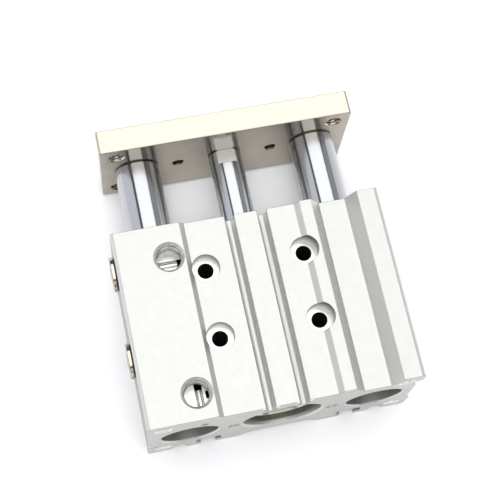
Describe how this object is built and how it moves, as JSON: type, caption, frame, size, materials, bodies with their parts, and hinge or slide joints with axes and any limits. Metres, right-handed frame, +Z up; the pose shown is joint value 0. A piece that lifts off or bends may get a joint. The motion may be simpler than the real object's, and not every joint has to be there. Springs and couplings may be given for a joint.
{
  "type": "guided pneumatic cylinder",
  "caption": "Compact guided air cylinder: flat grooved body, piston rod between guide rods, and an end plate that slides out.",
  "frame": {"origin": "centre of the four base mounting holes, on the base plane", "axes": "+Y along the rods towards the end plate, +Z up through the ported face, +X across, away from the side ports"},
  "size_m": [0.0947, 0.1061, 0.042],
  "materials": {
    "clear_anodised": "bead blasted and clear anodised",
    "nickel_plate": "bright nickel plated steel",
    "hard_chrome": "ground and hard chromed steel",
    "chromate_aluminium": "machined, pale chromate",
    "spring_steel": "phosphated",
    "steel_pin": "hardened, pressed in",
    "bearing_bronze": "sintered, oil filled",
    "black_rubber": "moulded nitrile",
    "bumper_urethane": "moulded urethane",
    "bonded_magnet": "bonded magnet",
    "wear_resin": "filled resin",
    "felt": "oiled felt"
  },
  "bodies": {
    "cylinder": {"body": "clear_anodised", "side_port_plugs": "nickel_plate", "plug_seals": "black_rubber", "air_way_plug": "steel_pin", "head_cover": "chromate_aluminium", "head_cover_oring": "black_rubber", "head_retaining_ring": "spring_steel", "rear_bumper": "bumper_urethane", "rod_cover": "chromate_aluminium", "rod_cover_oring": "black_rubber", "rod_retaining_ring": "spring_steel", "front_bumper": "bumper_urethane", "rod_bushing": "bearing_bronze", "rod_seal": "black_rubber", "guide_bushing_front_left": "bearing_bronze", "guide_bushing_rear_left": "bearing_bronze", "felt_wiper_left": "felt", "wiper_holder_left": "spring_steel", "guide_bushing_front_right": "bearing_bronze", "guide_bushing_rear_right": "bearing_bronze", "felt_wiper_right": "felt", "wiper_holder_right": "spring_steel"},
    "slide": {"end_plate": "nickel_plate", "guide_rod_left": "hard_chrome", "guide_rod_right": "hard_chrome", "guide_rod_screws": "nickel_plate", "piston_rod_screw": "nickel_plate", "piston_rod": "hard_chrome", "piston": "chromate_aluminium", "piston_seal": "black_rubber", "piston_magnet": "bonded_magnet", "piston_wear_ring": "wear_resin"}
  },
  "joints": [
    {"name": "plate_slide", "type": "slide", "parent": "cylinder", "child": "slide", "axis": [0, 1, 0], "range_m": [-0.024, 0.006]}
  ]
}
